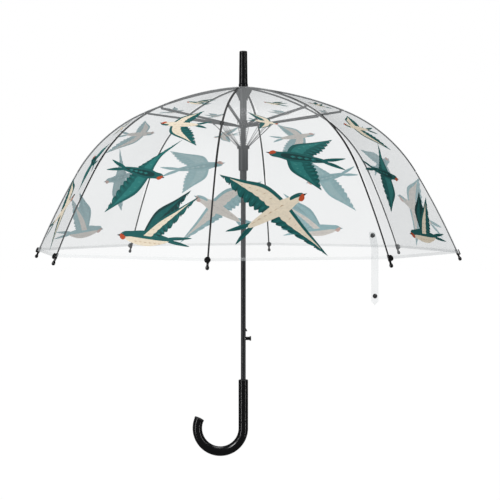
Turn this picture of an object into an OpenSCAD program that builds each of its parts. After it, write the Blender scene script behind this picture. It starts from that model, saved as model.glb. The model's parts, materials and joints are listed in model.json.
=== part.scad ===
// Clear bubble umbrella with eight ribs, a sliding double runner and a crook handle.
// The frame's origin is on the shaft's axis, at the middle of the handle's straight grip.
// +Z runs up the shaft to the ferrule, the crook turns to -X and the button faces +X.
// The umbrella is drawn open. "Rib plane" means (r, z): r outwards from the shaft, z up.

/* [Shaft and ferrule] */
// Outside diameter of the shaft's tube
shaft_d = 10; // [8:0.5:14]
// Wall of the shaft's tube
shaft_wall = 0.6; // [0.4:0.1:1.2]
// Height of the ferrule above the canopy
ferrule_h = 73; // [40:1:120]
// Ferrule diameter where it clamps the canopy
ferrule_base_d = 19; // [17:0.5:26]
// Ferrule diameter at its free end
ferrule_top_d = 16; // [14:0.5:22]

/* [Handle] */
// Diameter of the handle's round grip and crook
grip_d = 19.5; // [18:0.5:30]
// Length of the straight grip above the crook
grip_len = 99.2; // [80:1:140]
// Radius of the crook's centreline
hook_r = 47; // [30:1:70]
// Angle that the crook turns through
hook_turn = 205; // [150:1:215]
// How far the shaft goes down into the grip
shaft_seat = 60; // [30:1:75]

/* [Canopy and ribs] */
// Distance from the axis to the root of a rib's bar
root_r = 15.3; // [14:0.1:25]
// Height of a rib's root above the grip's middle
root_z = 645.8; // [560:1:780]
// Slope of a rib at its root, in degrees below level
root_slope = 6; // [2:1:12]
// Radius of a rib's upper arc
upper_arc_r = 689; // [560:1:840]
// Turn of a rib's upper arc, in degrees
upper_turn = 16.5; // [14:0.5:20]
// Radius of a rib's middle arc
middle_arc_r = 298; // [240:1:360]
// Turn of a rib's middle arc, in degrees
middle_turn = 37; // [30:0.5:44]
// Radius of a rib's lower arc
lower_arc_r = 1500; // [1200:10:1850]
// Turn of a rib's lower arc, in degrees
lower_turn = 7; // [5:0.5:9]
// Width and height of a rib's upper section
upper_rib = [4.2, 3.0];
// Width and height of a rib's middle section
middle_rib = [3.6, 2.6];
// Width and height of a rib's end section
end_rib = [3.0, 2.2];
// Angle of the first rib from the front, in degrees towards +X
first_rib_angle = -8.1; // [-22:0.1:22]
// Thickness of the clear film
film_t = 0.3; // [0.2:0.05:0.8]
// Height of the welded hem along the rim
hem_w = 6; // [3:0.5:12]
// Extra thickness of the film in the hem
hem_t = 0.4; // [0.2:0.05:0.8]

/* [Folding linkage] */
// Drop from a rib's root to its hinge in the top notch
notch_drop = 21.8; // [16:0.1:28]
// Distance from the shaft's surface to the circle of hinges in the notch and the upper runner
hinge_out = 2.5; // [2.5:0.1:4]
// Distance from a rib's flex point back to its stretcher pivot
pivot_back = 7.7; // [6:0.1:12]
// Drop from a rib's centreline to its stretcher pivot
pivot_drop = 4.6; // [4.4:0.1:6]
// Angle of the rib hinge line above level, umbrella closed
closed_angle = 86.5; // [84:0.5:87]
// Distance along a stretcher to its wire link's pivot
link_at = 53; // [40:1:70]
// Drop of the wire link's pivot below the stretcher's centreline
link_drop = 2.8; // [2.6:0.1:4]
// Distance from the shaft's surface to the circle of link pivots in the lower runner
link_out = 5.7; // [5.7:0.1:7]
// Distance down from the upper runner's hinges to the link pivots, open
runner_gap = 42.2; // [36:0.5:50]
// Width and height of a stretcher's channel
stretcher = [4.0, 4.0];
// Sheet thickness of a stretcher
stretcher_t = 0.7; // [0.5:0.05:0.8]
// Diameter of the wire links
link_d = 1.1; // [0.8:0.1:1.4]
// Length over which a link's two wires run straight beside the stretcher
link_straight = 20; // [18:1:30]
// Diameter of the ring wires that the ribs, stretchers and links hinge on
ring_wire_d = 1.0; // [0.8:0.1:1.2]

/* [Runners] */
// Height of the upper runner above its hinges
upper_runner_top = 12.6; // [8:0.1:16]
// Depth of the upper runner below its hinges
upper_runner_foot = 3; // [2.5:0.1:6]
// Distance from the link pivots down to the lower runner's end
runner_len = 83.2; // [70:0.1:100]
// How far the lower runner's flange stands outside the link pivots
flange_rim = 2; // [1.8:0.1:4]
// Thickness of the lower runner's body outside the shaft
runner_body_t = 4.75; // [4:0.05:6.5]
// Thickness of the lower runner's neck outside the shaft
neck_t = 1.9; // [1.5:0.1:3]
// Length of the lower runner's body
runner_body_len = 44.5; // [30:0.5:50]
// Height of the collar at the lower runner's end
collar_h = 6.9; // [4:0.1:9]

/* [Button, catch and spring] */
// Diameter of the push button's head
button_d = 9.6; // [8:0.1:12]
// Diameter of the push button's stem
stem_d = 7; // [5:0.1:7.4]
// How far the button stands out of the shaft
button_out = 11; // [8:0.5:14]
// Distance from the catch down to the button's axis
button_below = 14.5; // [13:0.5:20]
// How far the catch stands out of the shaft
catch_out = 3; // [1.5:0.1:3.4]
// Height of the catch
catch_h = 6.9; // [4:0.1:8]
// Wire diameter of the coil spring
coil_wire_d = 1.2; // [0.8:0.1:1.4]
// Gap between the shaft and the coil spring
coil_gap = 1.7; // [1.2:0.1:2.4]
// Number of turns in the coil spring
coil_turns = 8.5; // [6:0.5:9]

/* [Tips and strap] */
// Diameter of the round button on each tip
tip_button_d = 11; // [8:0.5:14]
// Diameter of the bulb at the end of each tip
tip_bulb_d = 6.6; // [5.4:0.1:8]
// Distance from a rib's end to the end of its tip
tip_len = 15; // [12:0.5:20]
// Width of the closing strap
strap_w = 17; // [12:0.5:24]
// Thickness of the closing strap
strap_t = 1.0; // [0.6:0.1:1.6]
// Length of the strap that hangs below its stud
strap_drop = 158; // [120:1:200]
// Diameter of the snap studs
snap_d = 11; // [8:0.5:14]

/* [Hidden] */
RIBS = 8;
STEP = 360 / RIBS;
HALF = STEP / 2;
RUN = 0.06;             // running clearance between the shaft and a runner
EASE = 0.3;             // clearance beside parts that pass each other
FLEX_GAP = 0.4;         // gap round a rib's flex point
EYE_R = 1.5;            // outside of a hinge eye
EYE_T = 2.0;            // thickness of a hinge eye
PIN_D = 1.5;            // pin between a stretcher and its rib
LUG_R = 1.9;            // outside of a rib's stretcher lug
FILM_GAP = 0.7;         // gap between a rib's upper section and the film
STRAP_GAP = 0.2;        // gap between the hem and the strap that crosses it
BIG = 720;              // facets in a full turn, for the long arcs
$fn = 48;

shaft_r = shaft_d / 2;
notch_z = root_z - notch_drop;
hinge_r = shaft_r + hinge_out;
link_ring_r = shaft_r + link_out;
film_off = upper_rib[1] / 2 + FILM_GAP;
eye_bore_r = ring_wire_d / 2 + 0.12;
slot_floor_r = hinge_r - EYE_R - 0.2;
slot_w = EYE_T + 0.4;

// Points of the rib plane
function along(p, slope, radius, turn) =
    p + radius * [sin(slope + turn) - sin(slope), cos(slope + turn) - cos(slope)];
function under(slope) = [-sin(slope), -cos(slope)];

rib_root = [root_r, root_z];
slope_1 = root_slope + upper_turn;
slope_2 = slope_1 + middle_turn;
slope_3 = slope_2 + lower_turn;
flex_1 = along(rib_root, root_slope, upper_arc_r, upper_turn);
flex_2 = along(flex_1, slope_1, middle_arc_r, middle_turn);
rib_end = along(flex_2, slope_2, lower_arc_r, lower_turn);

back_turn = pivot_back / upper_arc_r * 180 / PI;
pivot_slope = slope_1 - back_turn;
pivot_foot = along(rib_root, root_slope, upper_arc_r, upper_turn - back_turn);
rib_pivot = pivot_foot + pivot_drop * under(pivot_slope);

// The notch hinge and the upper runner's hinge mirror each other about the rib pivot
notch_pin = [hinge_r, notch_z];
runner_pin = [hinge_r, 2 * rib_pivot[1] - notch_z];
arm_len = norm(rib_pivot - runner_pin);
arm_angle = asin((notch_z - rib_pivot[1]) / arm_len);
closed_hinge_z = notch_z - 2 * arm_len * sin(closed_angle);

function link_pin(hinge_z, angle) =
    [hinge_r + link_at * cos(angle) + link_drop * sin(angle),
     hinge_z + link_at * sin(angle) - link_drop * cos(angle)];
link_foot = [link_ring_r, runner_pin[1] - runner_gap];
link_head = link_pin(runner_pin[1], arm_angle);
link_len = norm(link_head - link_foot);
closed_head = link_pin(closed_hinge_z, closed_angle);
closed_foot_z = closed_head[1] - sqrt(link_len * link_len - pow(closed_head[0] - link_ring_r, 2));
runner_travel = link_foot[1] - closed_foot_z;

runner_end_z = link_foot[1] - runner_len;
collar_z = runner_end_z + collar_h;
catch_z = collar_z - runner_travel + 1.2;
button_z = catch_z - button_below;

film_top_z = root_z + film_off + film_t + 0.6;
crown_r = hinge_r + 1.75;
flange_h = 6.2;
flange_top_z = link_foot[1] + 2.7;
body_top_z = flange_top_z - flange_h;
body_end_z = body_top_z - runner_body_len;
grip_top_z = grip_len / 2;
grip_end_z = -grip_len / 2;

// Turns the rib plane, drawn as XZ, to rib k, counted from 1
module at_rib(k) {
    rotate([0, 0, first_rib_angle + STEP * (k - 1) - 90]) children();
}

// A flat plate of the rib plane, centred on it
module plate(t) {
    rotate([90, 0, 0]) linear_extrude(t, center = true) children();
}

// A round bar square to the rib plane
module cross_pin(p, r, w) {
    translate([p[0], 0, p[1]]) rotate([90, 0, 0]) cylinder(r = r, h = w, center = true);
}

// A round rod between two points
module rod(a, b, r) {
    v = b - a;
    translate(a) rotate([0, acos(v[2] / norm(v)), atan2(v[1], v[0])]) cylinder(r = r, h = norm(v));
}

// A bent bar that starts at p and bends down
module arc_bar(p, slope, radius, turn, section) {
    translate([p[0] - radius * sin(slope), 0, p[1] - radius * cos(slope)])
    rotate([90, 0, 0]) rotate([0, 0, 90 - slope - turn])
    rotate_extrude(angle = turn, $fn = BIG) translate([radius, 0]) bar_section(section);
}

// Section of a rib, [width, height], with its corners cut off
module bar_section(section) {
    x = section[1] / 2;
    y = section[0] / 2;
    cut = section[1] / 4;
    polygon([
        [-x, cut - y], [cut - x, -y], [x - cut, -y], [x, cut - y],
        [x, y - cut], [x - cut, y], [cut - x, y], [-x, y - cut]
    ]);
}

module ring_wire(r, z) {
    translate([0, 0, z]) rotate_extrude($fn = 96) translate([r, 0]) circle(d = ring_wire_d, $fn = 24);
}

// Eight slots for hinge eyes, open outwards, from z up to the top
module eye_slots(width, floor_r, z, top) {
    for (k = [1:RIBS]) at_rib(k) translate([floor_r, -width / 2, z]) cube([30, width, top - z]);
}

module ring_groove(r, z) {
    translate([0, 0, z]) rotate_extrude($fn = 96) translate([r, 0]) circle(d = ring_wire_d + 0.1, $fn = 24);
}

module shaft() {
    color([0.07, 0.07, 0.08]) difference() {
        translate([0, 0, grip_top_z - shaft_seat])
            cylinder(r = shaft_r, h = film_top_z + 42 - grip_top_z + shaft_seat);
        translate([0, 0, grip_top_z - shaft_seat - 1])
            cylinder(r = shaft_r - shaft_wall, h = film_top_z + 44 - grip_top_z + shaft_seat);
        translate([0, -1.6, catch_z - 1]) cube([shaft_r + 1, 3.2, catch_h + 2]);
        translate([0, 0, button_z]) rotate([0, 90, 0]) cylinder(d = stem_d + 0.4, h = shaft_r + 1);
    }
}

module ferrule() {
    base_r = ferrule_base_d / 2;
    top_r = ferrule_top_d / 2;
    edge = 2.2;
    foot = film_top_z + 0.1;
    color([0.05, 0.05, 0.06]) rotate_extrude($fn = 96) difference() {
        union() {
            polygon([
                [0, foot], [base_r, foot], [base_r, foot + 5], [base_r - 0.7, foot + 6.5],
                [top_r, foot + ferrule_h - edge], [0, foot + ferrule_h - edge]
            ]);
            square_top(top_r, foot + ferrule_h, edge);
        }
        translate([0, foot - 1]) square([shaft_r + 0.05, 44]);
    }
}

// Rounded end of a turned part, as half of its section
module square_top(r, z, edge) {
    translate([0, z - edge - 0.1]) square([r - edge, edge + 0.1]);
    intersection() {
        translate([r - edge, z - edge]) circle(r = edge);
        translate([0, z - edge - 0.01]) square([r, edge + 0.01]);
    }
}

module top_notch() {
    foot_z = notch_z - 3;
    top_z = root_z - 0.2;
    stop_z = runner_pin[1] + upper_runner_top + 0.3;
    color([0.09, 0.09, 0.1]) {
        difference() {
            union() {
                translate([0, 0, foot_z]) cylinder(r = crown_r, h = top_z - foot_z);
                translate([0, 0, stop_z]) cylinder(r = shaft_r + 1.85, h = foot_z - stop_z + 1);
            }
            translate([0, 0, stop_z - 1]) cylinder(r = shaft_r + 0.05, h = top_z - stop_z + 2);
            eye_slots(slot_w, slot_floor_r, notch_z - EYE_R - 0.4, top_z + 1);
            ring_groove(hinge_r, notch_z);
        }
        ring_wire(hinge_r, notch_z);
    }
}

module upper_runner() {
    z = runner_pin[1];
    top = z + upper_runner_top;
    color([0.12, 0.12, 0.13]) {
        difference() {
            translate([0, 0, z - upper_runner_foot])
                cylinder(r = hinge_r + 1.1, h = upper_runner_top + upper_runner_foot);
            translate([0, 0, z - upper_runner_foot - 1])
                cylinder(r = shaft_r + RUN, h = upper_runner_top + upper_runner_foot + 2);
            eye_slots(slot_w, slot_floor_r, z - EYE_R - 0.4, top + 1);
            ring_groove(hinge_r, z);
        }
        ring_wire(hinge_r, z);
    }
}

// Turned outline of the lower runner, with a small step below each larger part
module runner_outline() {
    flange_r = link_ring_r + flange_rim;
    body_r = shaft_r + runner_body_t;
    neck_r = shaft_r + neck_t;
    collar_r = neck_r + 1;
    polygon([
        [0, runner_end_z], [collar_r - 0.6, runner_end_z], [collar_r, runner_end_z + 0.6],
        [collar_r, collar_z - 1.5], [neck_r, collar_z], [neck_r, body_end_z - 1],
        [body_r - 0.8, body_end_z], [body_r, body_end_z + 0.8], [body_r, body_top_z],
        [flange_r - 0.5, body_top_z], [flange_r, body_top_z + 0.5],
        [flange_r, flange_top_z - 0.5], [flange_r - 0.5, flange_top_z], [0, flange_top_z]
    ]);
}

module lower_runner() {
    link_slot = link_eye_w() + 0.4;
    window_z = catch_z + runner_travel;
    color([0.12, 0.12, 0.13]) {
        difference() {
            rotate_extrude($fn = 96) runner_outline();
            translate([0, 0, runner_end_z - 1])
                cylinder(r = shaft_r + RUN, h = flange_top_z - runner_end_z + 2);
            eye_slots(link_slot, link_ring_r - EYE_R - 0.2, link_foot[1] - EYE_R - 0.3, flange_top_z + 1);
            ring_groove(link_ring_r, link_foot[1]);
            translate([0, -1.7, window_z - 0.6]) cube([2 * link_ring_r, 3.4, catch_h + 1.2]);
        }
        ring_wire(link_ring_r, link_foot[1]);
    }
}

// The coil spring: a round wire carried along a helix
module spring() {
    rings = 20;
    sides = 8;
    w = coil_wire_d / 2;
    r = shaft_r + coil_gap + w;
    low = flange_top_z + w + 0.1;
    high = runner_pin[1] - upper_runner_foot - w - 0.1;
    steps = floor(coil_turns * rings);
    pitch_angle = atan((high - low) / (coil_turns * 2 * PI * r));
    function centre(t) = [r * cos(t), r * sin(t), low + (high - low) * t / (360 * coil_turns)];
    function rim(t, a) = centre(t) + w * (
        cos(a) * [cos(t), sin(t), 0]
        + sin(a) * [sin(t) * sin(pitch_angle), -cos(t) * sin(pitch_angle), cos(pitch_angle)]);
    points = [for (i = [0:steps], j = [0:sides - 1]) rim(360 * i / rings, -360 * j / sides)];
    walls = [for (i = [0:steps - 1], j = [0:sides - 1])
        let (n = (j + 1) % sides)
        [i * sides + j, i * sides + n, (i + 1) * sides + n, (i + 1) * sides + j]];
    first = [for (j = [sides - 1:-1:0]) j];
    last = [for (j = [0:sides - 1]) steps * sides + j];
    color([0.16, 0.16, 0.17]) polyhedron(points, concat(walls, [first, last]));
}

module push_button() {
    inner = shaft_r - shaft_wall - 0.5;
    outer = shaft_r + button_out;
    head = 3;
    color([0.06, 0.06, 0.07]) translate([0, 0, button_z]) rotate([0, 90, 0]) {
        translate([0, 0, inner]) cylinder(d = stem_d, h = outer - inner - 1);
        translate([0, 0, outer - head]) cylinder(d = button_d, h = head - 0.6);
        translate([0, 0, outer - 0.6]) cylinder(d1 = button_d, d2 = button_d - 1.2, h = 0.6);
    }
}

// The catch and the leaf that joins it to the button, inside the shaft
module bottom_catch() {
    width = 2.6;
    leaf = 0.6;
    leaf_x = shaft_r - shaft_wall - 0.8 - leaf;
    color([0.55, 0.56, 0.58]) plate(width) {
        polygon([
            [leaf_x, catch_z], [shaft_r + catch_out, catch_z], [shaft_r + catch_out, catch_z + 1.5],
            [shaft_r, catch_z + catch_h], [leaf_x, catch_z + catch_h]
        ]);
        translate([leaf_x, button_z - stem_d / 2]) square([leaf, catch_z - button_z + stem_d / 2 + 1]);
    }
}

module handle() {
    r = grip_d / 2;
    rim = 3;
    edge = 1.5;
    color([0.05, 0.05, 0.06]) difference() {
        union() {
            rotate_extrude($fn = 96) {
                translate([0, grip_end_z]) square([r, grip_len - edge]);
                square_top(r, grip_top_z, edge);
            }
            translate([-hook_r, 0, grip_end_z]) rotate([-90, 0, 0]) {
                rotate_extrude(angle = hook_turn, $fn = 192) translate([hook_r, 0]) circle(r = r, $fn = 64);
                rotate([0, 0, hook_turn]) translate([hook_r, 0, 0]) rotate([90, 0, 0])
                    cylinder(r = r + 0.4, h = rim);
            }
        }
        translate([0, 0, grip_top_z - shaft_seat - 1]) cylinder(r = shaft_r + 0.05, h = shaft_seat + 2);
    }
}

// One rib's upper section, from the notch hinge to its first flex point
module rib_upper() {
    h = upper_rib[1] / 2;
    t = [cos(pivot_slope), -sin(pivot_slope)];
    color([0.07, 0.07, 0.08]) difference() {
        union() {
            arc_bar(rib_root, root_slope, upper_arc_r, upper_turn, upper_rib);
            plate(EYE_T) {
                translate(notch_pin) circle(r = EYE_R);
                polygon([
                    notch_pin - [EYE_R, 0], notch_pin + [EYE_R, 0],
                    rib_root + [4, -h - 0.2], rib_root + [4, 0],
                    rib_root + [-1, h], rib_root + [-5, h - 0.6], notch_pin + [-EYE_R, notch_drop - 4.8]
                ]);
                translate(rib_pivot) circle(r = LUG_R);
                polygon([
                    rib_pivot - LUG_R * t, rib_pivot + LUG_R * t,
                    pivot_foot + (LUG_R + 1) * t, pivot_foot - (LUG_R + 1) * t
                ]);
            }
        }
        cross_pin(notch_pin, eye_bore_r, EYE_T + 1);
        cross_pin(rib_pivot, PIN_D / 2 + 0.07, EYE_T + 1);
        cross_pin(flex_1, middle_rib[1] / 2 + FLEX_GAP, upper_rib[0] + 1);
    }
}

// One rib's middle section, between its two flex points
module rib_middle() {
    color([0.07, 0.07, 0.08]) difference() {
        arc_bar(flex_1, slope_1, middle_arc_r, middle_turn, middle_rib);
        cross_pin(flex_2, end_rib[1] / 2 + FLEX_GAP, middle_rib[0] + 1);
    }
}

// One rib's end section, from its second flex point into the tip
module rib_lower() {
    color([0.07, 0.07, 0.08]) arc_bar(flex_2, slope_2, lower_arc_r, lower_turn, end_rib);
}

// The tip pushed over a rib's end: socket, neck, bulb, and the button outside the film
module tip() {
    bulb_r = tip_bulb_d / 2;
    button_x = -(film_off + film_t + hem_t + EASE);
    button_t = 1.9;
    bridge_z = 0.8;
    roof = film_off - EASE;
    fall = tan(HALF) * sin(slope_3);
    color([0.05, 0.05, 0.06]) translate([rib_end[0], 0, rib_end[1]]) rotate([0, 90 + slope_3, 0])
    difference() {
        union() {
            intersection() {
                translate([0, 0, -9]) cylinder(r = 2.7, h = 11);
                translate([0, 0, -10]) linear_extrude(14)
                    polygon([[-roof, 0], [5 * fall - roof, 5], [5, 5], [5, -5], [5 * fall - roof, -5]]);
            }
            translate([0, 0, 1]) cylinder(r = 2, h = tip_len - bulb_r - 4);
            translate([0, 0, tip_len - bulb_r - 5]) cylinder(r1 = 2, r2 = bulb_r, h = 3);
            translate([0, 0, tip_len - bulb_r - 2]) cylinder(r = bulb_r, h = 2);
            translate([0, 0, tip_len - bulb_r]) sphere(r = bulb_r);
            translate([button_x, 0, -2]) rotate([0, -90, 0]) cylinder(d = tip_button_d, h = button_t);
            translate([button_x - button_t, -1.8, bridge_z]) cube([button_t - button_x, 3.6, 2.6]);
        }
        translate([0, 0, -10]) linear_extrude(10) bar_section([end_rib[0] + 0.2, end_rib[1] + 0.2]);
    }
}

// One stretcher, from the upper runner's ring wire to the rib's lug
module stretcher_arm() {
    w = stretcher[0];
    h = stretcher[1];
    tongue = 15;
    gap = w - 2 * stretcher_t;
    color([0.09, 0.09, 0.1])
    translate([runner_pin[0], 0, runner_pin[1]]) rotate([0, -arm_angle, 0]) {
        difference() {
            union() {
                plate(EYE_T) {
                    circle(r = EYE_R);
                    translate([0, -EYE_R]) square([tongue, 2 * EYE_R]);
                }
                translate([tongue - 2, -w / 2, -h / 2]) cube([arm_len - tongue + 2, w, h]);
                cross_pin([arm_len, 0], h / 2, w);
            }
            cross_pin([0, 0], eye_bore_r, EYE_T + 1);
            translate([tongue, -gap / 2, -h / 2 - 1]) cube([arm_len, gap, h + 1 - stretcher_t]);
            translate([arm_len - 4, -gap / 2, -h]) cube([10, gap, 2 * h]);
        }
        cross_pin([arm_len, 0], PIN_D / 2, w);
    }
}

// Width of a link's lower eye, which takes both wires side by side
function link_eye_w() = 2 * link_d + 0.2;

// One double wire link, from the lower runner's ring wire to beside a stretcher
module link() {
    foot_y = link_d / 2 + 0.05;
    inner = stretcher[0] / 2 + EASE;
    head_y = inner + link_d / 2;
    bend = link_head + link_straight / link_len * (link_foot - link_head);
    color([0.09, 0.09, 0.1]) {
        difference() {
            union() {
                cross_pin(link_foot, EYE_R, link_eye_w());
                for (s = [-1, 1]) {
                    rod([link_foot[0], s * foot_y, link_foot[1]], [bend[0], s * head_y, bend[1]], link_d / 2);
                    rod([bend[0], s * head_y, bend[1]], [link_head[0], s * head_y, link_head[1]], link_d / 2);
                    translate([bend[0], s * head_y, bend[1]]) sphere(d = link_d + 0.1);
                }
            }
            cross_pin(link_foot, eye_bore_r, 2 * link_eye_w());
        }
        for (s = [-1, 1]) translate([link_head[0], s * head_y, link_head[1]])
            rotate([90, 0, 0]) cylinder(r = 1.6, h = link_d, center = true);
    }
}

// Points along a rib, offset outwards by d, with the flat stretch round the ferrule first
function film_line(d) = concat(
    [[shaft_r + 1, root_z + d + 0.6]],
    [for (i = [0:6]) offset_point(rib_root, root_slope, upper_arc_r, upper_turn * i / 6, d)],
    [for (i = [1:12]) offset_point(flex_1, slope_1, middle_arc_r, middle_turn * i / 12, d)],
    [for (i = [1:4]) offset_point(flex_2, slope_2, lower_arc_r, lower_turn * i / 4, d)]);
function offset_point(p, slope, radius, turn, d) =
    along(p, slope, radius, turn) - d * under(slope + turn);
function reversed(v) = [for (i = [len(v) - 1:-1:0]) v[i]];

hem_turn = hem_w / lower_arc_r * 180 / PI;
function hem_line(d) = [for (i = [0, 1])
    offset_point(flex_2, slope_2, lower_arc_r, lower_turn - hem_turn * (1 - i), d)];

// Section of the film in a rib's plane, thicker at the hem
module film_section() {
    outer = film_off + film_t;
    polygon(concat(film_line(film_off), reversed(film_line(outer))));
    polygon(concat(hem_line(outer - 0.1), reversed(hem_line(outer + hem_t))));
}

// The film is straight across between two ribs, so it has as many flat sides as ribs
module canopy() {
    color([0.86, 0.9, 0.92, 0.4]) difference() {
        at_rib(1) rotate_extrude($fn = RIBS) film_section();
        strap_place() translate([0, 0, -5]) cylinder(r = 2.4, h = 10);
    }
}

// Turns the middle plane of the gore beyond rib k to XZ
module at_gore(k) {
    at_rib(k + 0.5) children();
}

// The strap's stud sits in the gore beyond rib 4, towards that rib
stud_above = 29;
stud_turn = stud_above / lower_arc_r * 180 / PI;
stud_slope = slope_3 - stud_turn;
stud_line = along(flex_2, slope_2, lower_arc_r, lower_turn - stud_turn);
stud_side = -0.672 * stud_line[0] * sin(HALF);
// Slope of the film's surface in the gore's middle plane
gore_slope = atan(tan(stud_slope) / cos(HALF));

// Places +Z out of the film at the stud, with +X down the film
module strap_place() {
    at_gore(4) translate([stud_line[0] * cos(HALF), stud_side, stud_line[1]])
        rotate([0, gore_slope, 0]) translate([0, 0, film_lift()]) children();
}

// Height of the film's outer face above the line that joins two ribs' centrelines
function film_lift() = (film_off + film_t) * (sin(stud_slope) * cos(HALF) * sin(gore_slope)
    + cos(stud_slope) * cos(gore_slope));

module strap_stud() {
    strap_top = hem_t + STRAP_GAP + strap_t;
    color([0.06, 0.06, 0.07]) strap_place() {
        translate([0, 0, -film_t - 1.7]) cylinder(d = snap_d - 2, h = 1.4);
        translate([0, 0, -film_t - 1.5]) cylinder(r = 2, h = film_t + strap_top + 2);
        translate([0, 0, strap_top + 0.3]) cylinder(d = snap_d, h = 1.6);
    }
}

module strap() {
    above = 9;
    lift = hem_t + STRAP_GAP;
    slope_len = stud_above + 2;
    fall = strap_drop - slope_len * sin(gore_slope);
    snap_up = 20;
    bend = 90 - gore_slope;
    down = [cos(bend), -sin(bend)];
    out = [sin(bend), cos(bend)];
    crease = [slope_len, lift];
    color([0.8, 0.84, 0.86, 0.5]) strap_place() difference() {
        plate(strap_w) polygon([
            [-above, lift], crease, crease + fall * down, crease + fall * down + strap_t * out,
            crease + [strap_t * tan(bend / 2), strap_t], [-above, lift + strap_t]
        ]);
        cylinder(r = 2.2, h = 8);
    }
    color([0.06, 0.06, 0.07]) strap_place() translate([slope_len, 0, lift])
        rotate([0, bend, 0]) translate([fall - snap_up, 0, -1.4]) {
            cylinder(d = snap_d - 2, h = strap_t + 2);
            translate([0, 0, strap_t + 1.4]) cylinder(d = snap_d, h = 1.6);
        }
}

shaft();
ferrule();
top_notch();
canopy();
upper_runner();
spring();
lower_runner();
push_button();
bottom_catch();
handle();
strap();
strap_stud();
for (k = [1:RIBS]) {
    at_rib(k) rib_upper();
    at_rib(k) rib_middle();
    at_rib(k) rib_lower();
    at_rib(k) stretcher_arm();
    at_rib(k) link();
    at_rib(k) tip();
}
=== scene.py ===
# %% [markdown]
# # A clear bubble umbrella
# A deep dome of clear soft film is stretched over eight springy black ribs and printed
# with flying swallows. A push button lets the double runner slide, and the ribs fold.
# The folding frame comes ready-made as CAD parts, one object for each real piece.
# This lesson gives those parts their finishes, and makes the soft pieces: the film, its
# print and its closing strap.

# %% Load the folding frame
import json
import math

import bpy
import bmesh
from mathutils import Matrix, Vector
from mathutils.geometry import tessellate_polygon


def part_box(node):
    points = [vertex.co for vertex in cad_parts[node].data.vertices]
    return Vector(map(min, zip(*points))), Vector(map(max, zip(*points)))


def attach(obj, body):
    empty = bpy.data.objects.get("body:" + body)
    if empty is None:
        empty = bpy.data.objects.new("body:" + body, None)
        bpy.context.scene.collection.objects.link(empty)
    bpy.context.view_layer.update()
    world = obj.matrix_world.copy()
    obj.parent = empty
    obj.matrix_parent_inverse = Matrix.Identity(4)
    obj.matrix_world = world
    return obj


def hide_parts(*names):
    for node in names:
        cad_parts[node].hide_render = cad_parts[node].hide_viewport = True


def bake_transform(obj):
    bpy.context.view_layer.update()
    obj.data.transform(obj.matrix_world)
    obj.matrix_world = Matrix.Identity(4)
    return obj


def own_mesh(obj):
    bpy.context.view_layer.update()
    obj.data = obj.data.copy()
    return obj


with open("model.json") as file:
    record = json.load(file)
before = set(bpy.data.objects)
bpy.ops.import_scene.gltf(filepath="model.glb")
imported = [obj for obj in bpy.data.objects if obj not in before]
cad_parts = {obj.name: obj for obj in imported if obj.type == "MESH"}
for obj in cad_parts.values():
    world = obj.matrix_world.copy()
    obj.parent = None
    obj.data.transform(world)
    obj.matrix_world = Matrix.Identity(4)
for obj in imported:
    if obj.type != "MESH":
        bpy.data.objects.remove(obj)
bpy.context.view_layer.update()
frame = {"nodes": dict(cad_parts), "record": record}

nodes = frame["nodes"]

# %% [markdown]
# ## The lines the film follows
# A rib is three arcs that run into each other. The film lies on the ribs, and between two
# ribs it crosses nearly straight, drawn in a little because the ribs pull it along their
# length. So two numbers place any point of a gore, which is one panel of film: how far it
# is down the rib's curve, and how far it is sideways from the gore's middle line.

# %% A rib's curve
RIBS = 8
STEP = 2 * math.pi / RIBS
HALF = STEP / 2
FIRST_RIB = math.radians(-8.1)
ROOT = (0.0153, 0.6458)
ARCS = [(0.689, 16.5), (0.298, 37.0), (1.5, 7.0)]
ROOT_SLOPE = 6.0
FILM_OUT = 0.0025
DRAW_IN = 0.0045
HEM = 0.006
HEM_STEP = 0.0004


def rib_point(down):
    """Radius, height and slope of a rib's centreline, this far down from its root."""
    r, z = ROOT
    slope = math.radians(ROOT_SLOPE)
    for radius, turn in ARCS:
        part = min(down / radius, math.radians(turn))
        if (radius, turn) == ARCS[-1]:
            part = down / radius
        r += radius * (math.sin(slope + part) - math.sin(slope))
        z += radius * (math.cos(slope + part) - math.cos(slope))
        slope += part
        down -= radius * part
        if down < 1e-9:
            break
    return r, z, slope


LENGTHS = [radius * math.radians(turn) for radius, turn in ARCS]
FLEX_1 = LENGTHS[0]
FLEX_2 = FLEX_1 + LENGTHS[1]
RIM = sum(LENGTHS)
print("a rib's curve is", round(RIM * 1000), "mm long and ends at radius",
      round(rib_point(RIM)[0] * 1000), "mm")


# %% A point on the film
def flat_half_width(down):
    """Half the width of a gore, this far down."""
    r, _, slope = rib_point(down)
    return (r + FILM_OUT * math.sin(slope)) * math.sin(HALF)


def draw_in(down):
    """How far the film's middle is drawn in: most half-way down, and nothing at the top."""
    return DRAW_IN * math.sin(math.pi * min(max(down / RIM, 0), 1)) ** 1.5


def gore_axes(gore):
    """The outward direction of a gore's middle and the direction across it."""
    turn = FIRST_RIB + STEP * (gore - 1) + HALF
    return Vector((math.sin(turn), -math.cos(turn), 0)), Vector((math.cos(turn), math.sin(turn), 0))


def film_point(gore, across, down, lift=0.0):
    """Place on gore 1 to 8, lifted off the film's outer face."""
    r, z, slope = rib_point(down)
    outward, sideways = gore_axes(gore)
    share = across / max(flat_half_width(down), 1e-6)
    off = FILM_OUT + lift
    middle = draw_in(down) * (1 - min(share * share, 1))
    reach = (r + off * math.sin(slope)) * math.cos(HALF) - middle * math.sin(slope)
    height = z + (off - middle) * math.cos(slope)
    return outward * reach + sideways * across + Vector((0, 0, height))


print("the rim's middle is at", [round(x, 3) for x in film_point(1, 0, RIM)])

# %% [markdown]
# ## Camera, light and floor
# The umbrella is held upright at eye level, far enough away that it hardly tapers. Clear
# film shows by what it mirrors and by a faint milky veil, so it wants a bright, even room:
# pale air, one broad light from the front left and one from above. Two upright strips of
# light draw the bright lines down the ferrule and the grip.

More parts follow.
